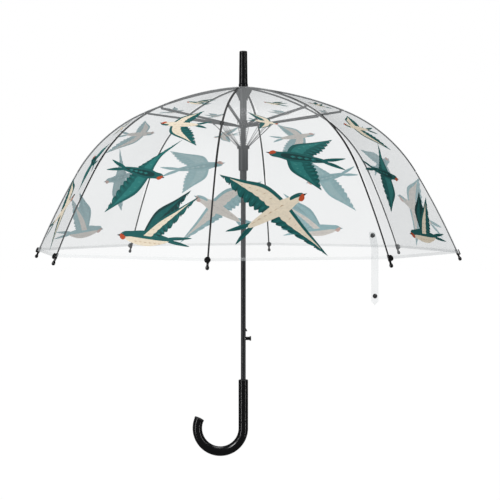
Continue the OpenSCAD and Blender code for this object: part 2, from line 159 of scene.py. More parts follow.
# %% Camera
camera_data = bpy.data.cameras.new("camera")
camera_data.lens = 92.7
camera_data.sensor_width = 36.0
camera_data.shift_x = 0.0134
camera_data.shift_y = -0.0924
camera_data.clip_end = 60.0
camera = bpy.data.objects.new("camera", camera_data)
camera.location = (0.0, -2.634, 0.4094)
camera.rotation_euler = (math.radians(90), 0, 0)
bpy.context.scene.collection.objects.link(camera)
bpy.context.scene.camera = camera
print("camera", [round(x, 3) for x in camera.location], "lens", camera_data.lens, "mm")


# %% Light
def area_light(name, place, aim, size, power, height=None):
    """A round light, or an upright strip when it has a height."""
    data = bpy.data.lights.new(name, "AREA")
    data.shape = "RECTANGLE" if height else "DISK"
    data.size = size
    data.size_y = height or size
    data.energy = power
    light = bpy.data.objects.new(name, data)
    light.location = place
    light.rotation_euler = (Vector(aim) - Vector(place)).to_track_quat("-Z", "Y").to_euler()
    light.visible_camera = False
    bpy.context.scene.collection.objects.link(light)


area_light("key_light", (-2.6, -2.6, 2.4), (0, 0, 0.4), 1.6, 80)
area_light("top_light", (0.4, 0.6, 3.4), (0, 0, 0.5), 2.4, 45)
area_light("left_strip", (-1.9, -1.6, 0.3), (0, 0, 0.3), 0.16, 14, 2.6)
area_light("right_strip", (2.0, -1.45, 0.3), (0, 0, 0.3), 0.10, 10, 2.6)
world = bpy.data.worlds.new("room")
bpy.context.scene.world = world
world.use_nodes = True
air = world.node_tree
PLAIN_WHITE = (1.0, 1.0, 1.0, 1.0)
COOL_WHITE = (0.96, 0.98, 1.0, 1.0)


def glow(node, color, strength):
    """The room's glow, as one kind of ray meets it."""
    node.inputs["Color"].default_value = color
    node.inputs["Strength"].default_value = strength
    return node


seen = glow(air.nodes["Background"], PLAIN_WHITE, 1.0)
shining = glow(air.nodes.new("ShaderNodeBackground"), COOL_WHITE, 0.5)
mirrored = glow(air.nodes.new("ShaderNodeBackground"), COOL_WHITE, 0.10)
look = air.nodes.new("ShaderNodeLightPath")
gloss_or_not = air.nodes.new("ShaderNodeMixShader")
choose = air.nodes.new("ShaderNodeMixShader")
air.links.new(look.outputs["Is Glossy Ray"], gloss_or_not.inputs["Fac"])
air.links.new(shining.outputs["Background"], gloss_or_not.inputs[1])
air.links.new(mirrored.outputs["Background"], gloss_or_not.inputs[2])
air.links.new(look.outputs["Is Camera Ray"], choose.inputs["Fac"])
air.links.new(gloss_or_not.outputs["Shader"], choose.inputs[1])
air.links.new(seen.outputs["Background"], choose.inputs[2])
air.links.new(choose.outputs["Shader"], air.nodes["World Output"].inputs["Surface"])
bpy.context.scene.view_settings.view_transform = "Standard"

# %% [markdown]
# ## Finishes
# Every finish is a small node tree on the Principled shader. Its pattern reads Object
# coordinates, in metres, so that the grain has its real size on every piece. A helper
# makes the parts that all of them share: a slow colour change, a roughness that varies and
# a fine bump.


# %% A helper for finishes
def finish(name, color, roughness, grain, spread=0.2, bump=0.02, metallic=0.0, vary=0.25):
    """A procedural finish: grain is how many features there are in a metre."""
    mat = bpy.data.materials.new(name)
    mat.use_nodes = True
    tree = mat.node_tree
    shader = tree.nodes["Principled BSDF"]
    shader.inputs["Metallic"].default_value = metallic
    place = tree.nodes.new("ShaderNodeTexCoord")
    slow = tree.nodes.new("ShaderNodeTexNoise")
    slow.inputs["Scale"].default_value = grain / 12
    slow.inputs["Detail"].default_value = 3
    fine = tree.nodes.new("ShaderNodeTexNoise")
    fine.inputs["Scale"].default_value = grain
    fine.inputs["Detail"].default_value = 6
    tint = tree.nodes.new("ShaderNodeValToRGB")
    tint.color_ramp.elements[0].position = 0.3
    tint.color_ramp.elements[1].position = 0.7
    tint.color_ramp.elements[0].color = (*[c * (1 - vary) for c in color], 1)
    tint.color_ramp.elements[1].color = (*[c * (1 + vary) for c in color], 1)
    rough = tree.nodes.new("ShaderNodeMapRange")
    rough.inputs["To Min"].default_value = roughness * (1 - spread)
    rough.inputs["To Max"].default_value = roughness * (1 + spread)
    dent = tree.nodes.new("ShaderNodeBump")
    dent.inputs["Strength"].default_value = bump
    dent.inputs["Distance"].default_value = 0.0005
    tree.links.new(place.outputs["Object"], slow.inputs["Vector"])
    tree.links.new(place.outputs["Object"], fine.inputs["Vector"])
    tree.links.new(slow.outputs["Fac"], tint.inputs["Fac"])
    tree.links.new(fine.outputs["Fac"], rough.inputs["Value"])
    tree.links.new(fine.outputs["Fac"], dent.inputs["Height"])
    tree.links.new(tint.outputs["Color"], shader.inputs["Base Color"])
    tree.links.new(rough.outputs["Result"], shader.inputs["Roughness"])
    tree.links.new(dent.outputs["Normal"], shader.inputs["Normal"])
    return mat


# %% The finishes of the folding frame
GLOSS_BLACK = finish("gloss_black", (0.003, 0.003, 0.0035), 0.19, 90, 0.1, 0.0)
SATIN_BLACK = finish("satin_black", (0.018, 0.018, 0.02), 0.38, 1500, 0.25, 0.06)
TUBE_BLACK = finish("tube_black", (0.016, 0.016, 0.018), 0.32, 1200, 0.2, 0.03)
RIB_BLACK = finish("rib_black", (0.004, 0.004, 0.005), 0.55, 2500, 0.2, 0.05)
STEEL_BLACK = finish("channel_black", (0.02, 0.021, 0.024), 0.36, 1800, 0.25, 0.05)
WIRE_BLACK = finish("wire_black", (0.03, 0.031, 0.035), 0.3, 3000, 0.25, 0.05)
BRIGHT = finish("spring_steel", (0.5, 0.5, 0.51), 0.28, 2500, 0.3, 0.05, metallic=1.0)
LOOKS = {
    "black_steel_tube": TUBE_BLACK, "gloss_black_plastic": GLOSS_BLACK,
    "black_plastic": SATIN_BLACK, "black_rib": RIB_BLACK,
    "black_channel_steel": STEEL_BLACK, "black_wire": WIRE_BLACK, "bright_steel": BRIGHT,
}
for part in frame["record"]["subparts"]:
    if part["material_slot"] in LOOKS:
        node = nodes[part["node"]]
        node.data.materials.clear()
        node.data.materials.append(LOOKS[part["material_slot"]])

# %% [markdown]
# ## The clear film's finish
# Clear soft film lets most light straight through. What stays is a faint white veil, from
# light it scatters, and a gloss that grows towards grazing angles, which is why a clear
# dome looks whiter near its outline. Here a Transparent shader is mixed with a glossy
# white one. How much of the white one shows comes from the film's own "veil" attribute,
# which is higher in the welded hem, plus a share that grows at grazing angles. The "shine"
# attribute sets the size of that share. Over each rib the veil is nothing and the shine
# nearly nothing: that is painted shade, standing in for the rib blocking the light that
# the film would scatter there, so the rib shows dark through it.


# %% Clear film
def film_finish(name, cloud):
    """Clear film; cloud is how much its veil varies from place to place."""
    mat = bpy.data.materials.new(name)
    mat.use_nodes = True
    tree = mat.node_tree
    shader = tree.nodes["Principled BSDF"]
    output = tree.nodes["Material Output"]
    shader.inputs["Base Color"].default_value = (0.62, 0.64, 0.645, 1)
    shader.inputs["Roughness"].default_value = 0.22
    clear = tree.nodes.new("ShaderNodeBsdfTransparent")
    clear.inputs["Color"].default_value = (0.976, 0.980, 0.981, 1)
    veil = tree.nodes.new("ShaderNodeAttribute")
    veil.attribute_name = "veil"
    place = tree.nodes.new("ShaderNodeTexCoord")
    streak = tree.nodes.new("ShaderNodeTexNoise")
    streak.inputs["Scale"].default_value = 9.0
    streak.inputs["Detail"].default_value = 4
    spread = tree.nodes.new("ShaderNodeMapRange")
    spread.inputs["From Min"].default_value = 0.3
    spread.inputs["From Max"].default_value = 0.7
    spread.inputs["To Min"].default_value = 1 - cloud
    spread.inputs["To Max"].default_value = 1 + cloud
    graze = tree.nodes.new("ShaderNodeLayerWeight")
    graze.inputs["Blend"].default_value = 0.25
    shine = tree.nodes.new("ShaderNodeAttribute")
    shine.attribute_name = "shine"
    gloss = tree.nodes.new("ShaderNodeMath")
    gloss.operation = "MULTIPLY_ADD"
    cloudy = tree.nodes.new("ShaderNodeMath")
    cloudy.operation = "MULTIPLY"
    wave = tree.nodes.new("ShaderNodeTexNoise")
    wave.inputs["Scale"].default_value = 38.0
    wave.inputs["Detail"].default_value = 2
    ripple = tree.nodes.new("ShaderNodeBump")
    ripple.inputs["Strength"].default_value = 0.08
    ripple.inputs["Distance"].default_value = 0.002
    mix = tree.nodes.new("ShaderNodeMixShader")
    links = tree.links
    links.new(place.outputs["Object"], streak.inputs["Vector"])
    links.new(place.outputs["Object"], wave.inputs["Vector"])
    links.new(wave.outputs["Fac"], ripple.inputs["Height"])
    links.new(ripple.outputs["Normal"], shader.inputs["Normal"])
    links.new(streak.outputs["Fac"], spread.inputs["Value"])
    links.new(veil.outputs["Fac"], cloudy.inputs[0])
    links.new(spread.outputs["Result"], cloudy.inputs[1])
    links.new(graze.outputs["Facing"], gloss.inputs[0])
    links.new(shine.outputs["Fac"], gloss.inputs[1])
    links.new(cloudy.outputs["Value"], gloss.inputs[2])
    links.new(gloss.outputs["Value"], mix.inputs["Fac"])
    links.new(clear.outputs["BSDF"], mix.inputs[1])
    links.new(shader.outputs["BSDF"], mix.inputs[2])
    links.new(mix.outputs["Shader"], output.inputs["Surface"])
    return mat


CLEAR_FILM = film_finish("clear_film", 0.25)
CLEAR_VINYL = film_finish("clear_vinyl", 0.15)
print("film finish has", len(CLEAR_FILM.node_tree.nodes), "nodes")

# %% [markdown]
# ## The film
# The film is cut in eight gores, welded side by side on the ribs. When the umbrella folds,
# it follows the ribs and gathers beside each one. So each half gore is built in three
# lengths, one for each part of the rib that turns by itself. Each length rides on its
# part of the rib. Round the ferrule, eight small wedges, which do not move, lie between
# the fixed crown and the ribs.
#
# Each length is a grid of points from film_point(), so neighbours share their edges.

# %% Rows and lengths of film
CROWN_END = 0.036
ROW = 0.0095
# where a length starts and ends, the section of rib it rides on, and its width when folded
BANDS = {
    "upper": (CROWN_END, FLEX_1, "upper", 0.20),
    "middle": (FLEX_1, FLEX_2, "middle", 0.13),
    "lower": (FLEX_2, RIM, "end", 0.07),
}
# painted shade: the strip of film over a rib gets no veil and almost no shine, so the rib shows dark
RIB_SHADE_STRIP = 0.0035
HEM_START = RIM - HEM


def rows_between(a, b):
    """Evenly spaced rows, with a small step where the hem begins."""
    count = max(2, round((b - a) / ROW))
    rows = [a + (b - a) * i / count for i in range(count + 1)]
    if b == RIM:
        rows = [r for r in rows if r < HEM_START - 0.002]
        rows += [HEM_START, HEM_START + HEM_STEP, RIM]
    return rows


ROWS = {name: rows_between(band[0], band[1]) for name, band in BANDS.items()}
SHARES = [0, 0.024, 0.05, 0.12, 0.2, 0.3, 0.4, 0.5, 0.6, 0.7, 0.8, 0.9, 1.0]
print("rows of film:", {name: len(rows) for name, rows in ROWS.items()})


# %% Building a length of film
def mesh_piece(name, points, faces, material):
    """A new object in the scene, its points in world space, smooth, with its one material."""
    mesh = bpy.data.meshes.new(name)
    mesh.from_pydata([tuple(p) for p in points], [], faces)
    mesh.materials.append(material)
    mesh.update()
    for face in mesh.polygons:
        face.use_smooth = True
    piece = bpy.data.objects.new(name, mesh)
    bpy.context.scene.collection.objects.link(piece)
    return piece


def veil_with_rib_shade(across, down):
    """Veil and shine: more in the welded hem, and painted shade over a rib, where both are taken away."""
    edge = flat_half_width(down) - abs(across)
    # painted shade: over a rib the film's milky veil and grazing shine are taken away
    if edge < RIB_SHADE_STRIP:
        return 0.0, 0.02
    if down > HEM_START + HEM_STEP / 2:
        return 0.26, 0.45
    return 0.07, 0.42


def grid_faces(rows, columns):
    """Four-cornered faces of a grid whose points run row by row."""
    return [(i * columns + j, (i + 1) * columns + j, (i + 1) * columns + j + 1, i * columns + j + 1)
            for i in range(rows - 1) for j in range(columns - 1)]


def film_grid(gore, sides, rows):
    """Points, faces and veil of a grid of film; sides run from one edge to the other."""
    points, veil = [], []
    for down in rows:
        half = flat_half_width(down)
        lift = HEM_STEP if down > HEM_START + HEM_STEP / 2 else 0.0
        for side in sides:
            points.append(film_point(gore, side * half, down, lift))
            veil.append(veil_with_rib_shade(side * half, down))
    return points, grid_faces(len(rows), len(sides)), veil


def set_veil(piece, pairs):
    """Each point's veil and shine, which the film's finish reads."""
    for name, values in zip(("veil", "shine"), zip(*pairs)):
        layer = piece.data.attributes.new(name, "FLOAT", "POINT")
        layer.data.foreach_set("value", values)


def rib_axes(rib, slope):
    """Outward, along the turn, and square to a film of this slope, at a rib."""
    turn = FIRST_RIB + STEP * (rib - 1)
    outward = Vector((math.sin(turn), -math.cos(turn), 0))
    around = Vector((math.cos(turn), math.sin(turn), 0))
    return outward, around, outward * math.sin(slope) + Vector((0, 0, math.cos(slope)))


def gather(piece, rib, band):
    """The half gore rides on its rib's section, with a mesh of its own; in the loop, hand is +1 for the gore
    beyond the rib, -1 before it.
    """
    start, end, section, keep = BANDS[band]
    r, z, _ = rib_point((start + end) / 2)
    r0, z0, _ = rib_point(start)
    r1, z1, _ = rib_point(end)
    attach(piece, f"rib_{rib}_{section}")
    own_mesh(piece)


def declare_film(rows):
    """Hides the CAD canopy, which the lengths of film stand in for."""
    widths = [flat_half_width(d) for d in rows]
    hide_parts("canopy")


film_count = 0
for gore in range(1, RIBS + 1):
    for band, rows in ROWS.items():
        for rib, hand in ((gore, 1), (gore % RIBS + 1, -1)):
            sides = [-1 + s for s in SHARES] if hand == 1 else [1 - s for s in reversed(SHARES)]
            points, faces, veil = film_grid(gore, sides, rows)
            side_name = "after" if hand == 1 else "before"
            piece = mesh_piece(f"film_{band}_{side_name}_rib_{rib}", points, faces, CLEAR_FILM)
            set_veil(piece, veil)
            declare_film(rows)
            gather(piece, rib, band)
            film_count += 1
print(film_count, "half gores of film")

# %% The wedges round the crown
CROWN_INNER = -0.0062
CROWN_RISE = 0.0004
CROWN_ROWS = [CROWN_INNER, -0.003, 0, 0.004, 0.010, 0.018, 0.027, CROWN_END]
CROWN_SIDE = 6


def crown_point(gore, across_share, down):
    """The crown runs level under the ferrule, and then joins the ribs' curve."""
    if down >= 0:
        return film_point(gore, across_share * flat_half_width(down), down)
    start = film_point(gore, across_share * flat_half_width(0), 0)
    r = start.xy.length
    inner = (r + down) / r
    return Vector((start.x * inner, start.y * inner, start.z + CROWN_RISE * down / CROWN_INNER))


for rib in range(1, RIBS + 1):
    points = []
    for down in CROWN_ROWS:
        for s in range(-CROWN_SIDE, CROWN_SIDE + 1):
            gore = rib if s >= 0 else (rib - 2) % RIBS + 1
            share = (-1 if s >= 0 else 1) + s / CROWN_SIDE
            points.append(crown_point(gore, share, down))
    faces = grid_faces(len(CROWN_ROWS), 2 * CROWN_SIDE + 1)
    wedge = mesh_piece(f"film_crown_rib_{rib}", points, faces, CLEAR_FILM)
    set_veil(wedge, [(0.13, 0.3)] * len(points))
    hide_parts("canopy")
    outward = rib_axes(rib, 0)[0]
    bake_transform(wedge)
print("crown wedges:", RIBS)

# %% [markdown]
# ## The printed swallows
# The print is ink on the outside of the film. Every bird is drawn flat, as a maker would
# draw it for a printing screen: a few closed outlines, one above the other, each with one
# ink. The bird looks along +X and is two units long. The drawing is then laid on a gore,
# cut along the film's own rows, and lifted a hair off the film, so that it bends with it.
# A second copy lies under the first one, for the print seen from inside. Its paler colours are painted light:
# they stand in for light shining through the ink from outside.

# %% Inks
INKS = {
    "deep": (10, 64, 64), "teal": (18, 97, 95), "mid": (38, 124, 120), "light": (80, 156, 148),
    "cream": (244, 230, 206), "shade": (206, 178, 148), "rust": (196, 80, 40),
    "night": (14, 40, 46), "pale": (246, 238, 222),
}
INK_STRENGTH = 0.74


def linear(channel):
    c = channel / 255
    return c / 12.92 if c <= 0.04045 else ((c + 0.055) / 1.055) ** 2.4


INK_COLORS = {name: tuple(INK_STRENGTH * linear(c) for c in rgb) for name, rgb in INKS.items()}


# %% Curves for the drawings
def curve(points, closed=False, steps=6):
    """A smooth line through the points."""
    n = len(points)
    spans = n if closed else n - 1
    line = []
    for i in range(spans):
        p = [points[(i + k) % n] if closed else points[min(max(i + k, 0), n - 1)]
             for k in (-1, 0, 1, 2)]
        for s in range(steps):
            t = s / steps
            line.append(tuple(0.5 * (2 * p[1][c] + (p[2][c] - p[0][c]) * t
                        + (2 * p[0][c] - 5 * p[1][c] + 4 * p[2][c] - p[3][c]) * t * t
                        + (3 * p[1][c] - p[0][c] - 3 * p[2][c] + p[3][c]) * t ** 3)
                        for c in (0, 1)))
    return line if closed else line + [tuple(points[-1])]


def at(line, share):
    """The point at a share of a line's length."""
    i = min(max(share, 0), 1) * (len(line) - 1)
    k = min(int(i), len(line) - 2)
    return tuple(line[k][c] + (line[k + 1][c] - line[k][c]) * (i - k) for c in (0, 1))


def between(p, q, t):
    return tuple(p[c] + (q[c] - p[c]) * t for c in (0, 1))


# %% A wing
# Depth is a share of the way from the leading edge to the trailing edge. Along is a share
# of the way from the body to the tip.
COVER_REACH = 0.8
COVER_STEPS = 28
COVER_SCALLOPS = 7
COVER_FADE = 2.2
SCALLOP = 0.055
FEATHER_LEAN = 0.012
STROKES = 6
STROKE_HALF = 0.009


def square_to(a, b):
    """A direction square to the line from a to b."""
    x, y = b[1] - a[1], a[0] - b[0]
    size = max(math.hypot(x, y), 1e-6)
    return x / size, y / size


def wing(shapes, front, wrist, tip, trail, back, level, inks, feathers=9, lining=0.42):
    """Leading edge front-wrist-tip, trailing edge back-trail-tip with a feather at each scallop."""
    base, cover, line_ink, edge = inks
    lead = curve([front, wrist, between(wrist, tip, 0.55), tip])
    rear = curve([back, trail, tip])
    span = math.dist(front, tip)
    reach = lining - 0.1

    def place(along, depth):
        return between(at(lead, along), at(rear, along), depth)

    notched = []
    for i in range(feathers * 4 + 1):
        s = i / (feathers * 4)
        point = at(rear, s)
        inward = at(lead, s)
        depth = math.dist(point, inward)
        notch = 1 - abs(math.sin(math.pi * feathers * s))
        dent = SCALLOP * span * notch * min(depth / (0.1 * span), 1)
        notched.append(between(point, inward, dent / max(depth, 1e-6)))
    shapes.append((base, lead + notched[::-1][1:], level))

    band = []
    fringe = []
    for i in range(COVER_STEPS + 1):
        s, part = COVER_REACH * i / COVER_STEPS, i / COVER_STEPS
        scallop = 0.06 * abs(math.sin(math.pi * COVER_SCALLOPS * part)) * (1 - part)
        band.append(place(s, 0.13 + 0.06 * part * part))
        fringe.append(place(s, 0.24 + reach * (1 - part ** COVER_FADE) + scallop))
    shapes.append((cover, band + fringe[::-1], level + 1))

    for i in range(1, 2 * feathers):
        s = i / (2 * feathers)
        part = min(s / COVER_REACH, 1)
        long = i % 2 == 0
        a = place(s, 0.32 + reach * (1 - part ** COVER_FADE))
        b = place(min(s + FEATHER_LEAN, 1), 0.92 if long else 0.8)
        width = (0.011 if long else 0.009) * span
        x, y = square_to(a, b)
        line = [a, (b[0] + x * width, b[1] + y * width), (b[0] - x * width, b[1] - y * width)]
        shapes.append((line_ink if long else "mid", line, level + 1))

    for i in range(STROKES):
        s = 0.06 + 0.11 * i
        a = place(s, 0.2 + 0.02 * i)
        b = place(s + 0.03, 0.2 + 0.7 * reach * (1 - s))
        middle = between(a, b, 0.5)
        x, y = square_to(a, b)
        x, y = x * STROKE_HALF, y * STROKE_HALF
        stroke = [a, (middle[0] + x, middle[1] + y), b, (middle[0] - x, middle[1] - y)]
        shapes.append((edge, stroke, level + 2))


def tail(shapes, root, spread, length, ink, vein, level):
    """Two long streamers, each with a vein stroke."""
    x, y = root
    for side in (-1, 1):
        tip = (x - length, y + side * spread)
        streamer = [(x, y + side * 0.045), (x - 0.4 * length, y + side * (0.05 + 0.42 * spread)),
                    tip, (x - 0.5 * length, y + side * 0.2 * spread), (x, y)]
        shapes.append((ink, curve(streamer, closed=True), level))
        shapes.append((vein, [(x - 0.2 * length, y + side * 0.16 * spread),
                              (x - 0.55 * length, y + side * (0.46 * spread + 0.012)),
                              (x - 0.78 * length, y + side * 0.68 * spread),
                              (x - 0.55 * length, y + side * 0.42 * spread)], level + 1))


def head(shapes, x, y, level):
    """Beak, rust face and throat, and an eye."""
    shapes.append(("night", [(x + 0.07, y + 0.035), (x + 0.185, y - 0.012), (x + 0.07, y - 0.035)], level))
    shapes.append(("rust", curve([(x + 0.095, y + 0.03), (x + 0.01, y + 0.012), (x - 0.075, y - 0.045),
                                  (x - 0.03, y - 0.105), (x + 0.05, y - 0.085), (x + 0.1, y - 0.02)],
                                 closed=True), level + 1))
    shapes.append(("night", curve([(x + 0.045, y + 0.03), (x + 0.02, y + 0.052), (x - 0.004, y + 0.03),
                                   (x + 0.02, y + 0.008)], closed=True, steps=3), level + 2))
    shapes.append(("pale", curve([(x + 0.035, y + 0.036), (x + 0.028, y + 0.043), (x + 0.021, y + 0.036),
                                  (x + 0.028, y + 0.029)], closed=True, steps=2), level + 3))


# %% Four ways to fly
def soaring(left_tip, right_tip, below, body=0.15):
    """Seen from above, or from below with a cream belly and cream wing linings."""
    shapes = []
    inks = ("teal", "cream", "deep", "shade") if below else ("teal", "mid", "deep", "light")
    for side, tip in ((1, left_tip), (-1, right_tip)):
        wrist = (0.42 + 0.12 * tip[0], side * (0.12 + 0.36 * abs(tip[1])))
        trail = (0.45 * tip[0] - 0.12, side * (0.05 + 0.34 * abs(tip[1])))
        wing(shapes, (0.5, side * 0.07), wrist, tip, trail, (-0.12, side * 0.05), 1, inks)
    tail(shapes, (-0.42, 0), 0.17, 0.58, "teal", "deep", 1)
    torso = curve([(0.93, 0.02), (0.86, 0.085), (0.66, 0.10), (0.36, body), (-0.1, 0.105), (-0.5, 0.04),
                   (-0.5, -0.04), (-0.1, -0.105), (0.36, -body), (0.66, -0.10), (0.86, -0.085),
                   (0.93, -0.02)], closed=True)
    shapes.append(("cream" if below else "teal", torso, 4))
    if below:
        cap = curve([(0.94, 0.03), (0.84, 0.09), (0.66, 0.10), (0.6, 0.04), (0.74, 0.02), (0.86, 0.0)],
                    closed=True)
        shapes.append(("teal", cap, 5))
        for i in range(6):
            x = 0.42 - 0.15 * i
            shapes.append(("shade", [(x, 0.01), (x - 0.05, 0.045 - 0.012 * (i % 2)), (x - 0.13, 0.02),
                                     (x - 0.05, 0.018)], 5))
    else:
        saddle = curve([(0.6, 0.055), (0.3, 0.085), (-0.1, 0.05), (-0.42, 0.01), (-0.1, -0.05), (0.3, -0.085),
                        (0.6, -0.055)], closed=True)
        shapes.append(("deep", saddle, 5))
        for i in range(4):
            x = 0.4 - 0.17 * i
            shapes.append(("mid", [(x, 0), (x - 0.06, 0.035), (x - 0.16, 0), (x - 0.06, -0.035)], 6))
    head(shapes, 0.83, -0.005, 6)
    return shapes


def gliding(tip, far_tip, lift=0.0):
    """Seen from the side, with both wings raised."""
    shapes = []
    wing(shapes, (0.34, 0.1), (0.3 + 0.2 * far_tip[0], 0.52 * far_tip[1]), far_tip,
         (0.4 * far_tip[0] - 0.05, 0.34 * far_tip[1]), (-0.02, 0.06), 1,
         ("deep", "teal", "teal", "mid"), 8, 0.34)
    tail(shapes, (-0.36, 0.01), 0.10, 0.64, "teal", "deep", 1)
    back = curve([(0.95, 0.0), (0.86, 0.1), (0.66, 0.13), (0.3, 0.17), (-0.1, 0.12), (-0.5, 0.03),
                  (-0.5, -0.02), (-0.1, -0.06), (0.4, -0.08), (0.8, -0.06)], closed=True)
    belly = curve([(0.8, -0.05), (0.62, -0.13), (0.3, -0.19), (-0.05, -0.165), (-0.42, -0.035),
                   (-0.1, -0.03), (0.3, -0.02), (0.66, -0.01)], closed=True)
    shapes.append(("teal", back, 3))
    shapes.append(("cream", belly, 4))
    for i in range(6):
        x = 0.5 - 0.13 * i
        shapes.append(("shade", [(x, -0.09), (x - 0.04, -0.12), (x - 0.11, -0.105), (x - 0.04, -0.1)], 5))
    wing(shapes, (0.36, 0.05), (0.18 + 0.2 * tip[0], 0.42 * tip[1]), tip,
         (0.42 * tip[0] - 0.02, 0.26 * tip[1] + lift), (-0.16, 0.04), 6,
         ("teal", "cream", "deep", "shade"), 9, 0.36)
    head(shapes, 0.84, 0.005, 7)
    return shapes


BIRDS = {
    "above": soaring((-0.42, 0.86), (-0.66, -0.74), False),
    "turning": soaring((0.85, 1.30), (-0.35, -1.40), False),
    "below": soaring((-0.33, 1.28), (0.50, -1.38), True),
    "side": gliding((-0.82, 1.12), (-0.55, 1.26)),
    "dart": soaring((-1.05, 0.95), (-0.25, -0.85), True, 0.12),
    "small": gliding((-0.75, 0.72), (-0.3, 0.85)),
}
print("drawn:", {name: len(shapes) for name, shapes in BIRDS.items()})

# %% Where each bird flies
# name, head and tail on the gore in millimetres (across, down), and which way up it is;
# the first list is for gores 1, 3, 5 and 7, and the second for the others
LAYOUTS = [
    [("small", (-4, 176), (38, 203), 1), ("dart", (4, 275), (-54, 262), 1),
     ("above", (-35, 355), (111, 382), -1), ("below", (27, 442), (-122, 531), 1)],
    [("small", (-30, 168), (36, 192), 1), ("dart", (-38, 268), (80, 283), -1),
     ("turning", (30, 409), (-103, 380), 1), ("side", (-36, 527), (124, 541), 1)],
]


def lay(shape, head_at, tail_at, flip):
    """Outline of one ink in metres on the gore. Down is positive, so a bird's left is up."""
    ax, ay = (Vector(head_at) - Vector(tail_at)) / 2000
    mx, my = (Vector(head_at) + Vector(tail_at)) / 2000
    turn = flip if ax > 0 else -flip
    return [(mx + ax * x + ay * y * turn, my + ay * x - ax * y * turn) for x, y in shape]


# %% Cutting the print along the film's rows
ACROSS_CUTS = [0.01 * i for i in range(-17, 18)]
INK_GAP = 0.00002
INK_LIFT = 0.00026
# painted light: the copy seen from inside is lightened, standing in for light shining through the ink
BACKLIT_INSIDE_INKS = {
    "deep": (0.28, 0.52, 0.55), "teal": (0.36, 0.62, 0.65), "mid": (0.44, 0.68, 0.70),
    "light": (0.55, 0.75, 0.76), "cream": (0.92, 0.84, 0.76), "shade": (0.75, 0.66, 0.60),
    "rust": (0.80, 0.50, 0.42), "night": (0.25, 0.46, 0.50), "pale": (0.95, 0.92, 0.88),
}


def printed_faces(polygon, cuts):
    """The polygon in flat triangles, cut where the film bends, as lists of (across, down)."""
    flat = bmesh.new()
    verts = [flat.verts.new((x, y, 0)) for x, y in polygon]
    for tri in tessellate_polygon([[Vector((x, y, 0)) for x, y in polygon]]):
        try:
            flat.faces.new([verts[i] for i in tri])
        except ValueError:
            continue
    low, high = min(y for x, y in polygon), max(y for x, y in polygon)
    left, right = min(x for x, y in polygon), max(x for x, y in polygon)
    planes = [((0, d, 0), (0, 1, 0)) for d in cuts if low < d < high]
    planes += [((x, 0, 0), (1, 0, 0)) for x in ACROSS_CUTS if left < x < right]
    for place, square in planes:
        parts = flat.verts[:] + flat.edges[:] + flat.faces[:]
        bmesh.ops.bisect_plane(flat, geom=parts, dist=1e-7, plane_co=place, plane_no=square)
    flat.normal_update()
    faces = [[(v.co.x, v.co.y) for v in (f.verts if f.normal.z > 0 else reversed(f.verts))]
             for f in flat.faces if f.calc_area() > 1e-11]
    flat.free()
    return faces


CUTS = sorted({d for rows in ROWS.values() for d in rows})
prints = {}
for gore in range(1, RIBS + 1):
    for name, head_at, tail_at, flip in LAYOUTS[(gore + 1) % 2]:
        for ink, outline, level in BIRDS[name]:
            for face in printed_faces(lay(outline, head_at, tail_at, flip), CUTS):
                across = sum(p[0] for p in face) / len(face)
                down = sum(p[1] for p in face) / len(face)
                band = next((b for b, v in BANDS.items() if v[0] <= down <= v[1]), None)
                if band is None:
                    continue
                key = (gore, band, -1 if across > 0 else 1)
                prints.setdefault(key, []).append((ink, face, level))
print("print on", len(prints), "half gores,", sum(len(v) for v in prints.values()), "faces")


# %% The ink and its pieces
def ink_finish():
    """Matt ink, a little denser here and thinner there."""
    mat = bpy.data.materials.new("screen_ink")
    mat.use_nodes = True
    tree = mat.node_tree
    shader = tree.nodes["Principled BSDF"]
    shader.inputs["Roughness"].default_value = 0.6
    shader.inputs["Specular IOR Level"].default_value = 0.2
    ink = tree.nodes.new("ShaderNodeVertexColor")
    ink.layer_name = "ink"
    place = tree.nodes.new("ShaderNodeTexCoord")
    grain = tree.nodes.new("ShaderNodeTexNoise")
    grain.inputs["Scale"].default_value = 260.0
    grain.inputs["Detail"].default_value = 5
    depth = tree.nodes.new("ShaderNodeHueSaturation")
    dense = tree.nodes.new("ShaderNodeMapRange")
    dense.inputs["To Min"].default_value = 0.82
    dense.inputs["To Max"].default_value = 1.18
    tree.links.new(place.outputs["Object"], grain.inputs["Vector"])
    tree.links.new(grain.outputs["Fac"], dense.inputs["Value"])
    tree.links.new(dense.outputs["Result"], depth.inputs["Value"])
    tree.links.new(ink.outputs["Color"], depth.inputs["Color"])
    tree.links.new(depth.outputs["Color"], shader.inputs["Base Color"])
    return mat


INK = ink_finish()
for (gore, band, hand), parts in prints.items():
    points, faces, colors = [], [], []
    for ink, face, level in parts:
        color = INK_COLORS[ink]
        # the inner sheet takes the painted-light colours of the copy seen from inside
        for sheet, shown in ((level + 1, color), (-level - 1, BACKLIT_INSIDE_INKS[ink])):
            base = len(points)
            lift = INK_LIFT + INK_GAP * sheet
            points += [film_point(gore, across, down, lift) for across, down in face]
            ring = list(range(base, base + len(face)))
            faces.append(ring if sheet < 0 else ring[::-1])
            colors += [(*shown, 1)] * len(face)
    rib = gore if hand == 1 else gore % RIBS + 1
    piece = mesh_piece(f"print_{band}_{'after' if hand == 1 else 'before'}_rib_{rib}",
                       points, faces, INK)
    layer = piece.data.color_attributes.new("ink", "FLOAT_COLOR", "CORNER")
    layer.data.foreach_set("color", [c for color in colors for c in color])
    gather(piece, rib, band)
print("print pieces made")

# %% [markdown]
# ## The closing strap
# A strip of thick clear vinyl hangs from a snap stud on the film, and has the snap's two
# halves near its rounded end. It wraps round the folded umbrella and snaps shut. Here it
# is one strip that lies on the film for a short way and then hangs straight down.

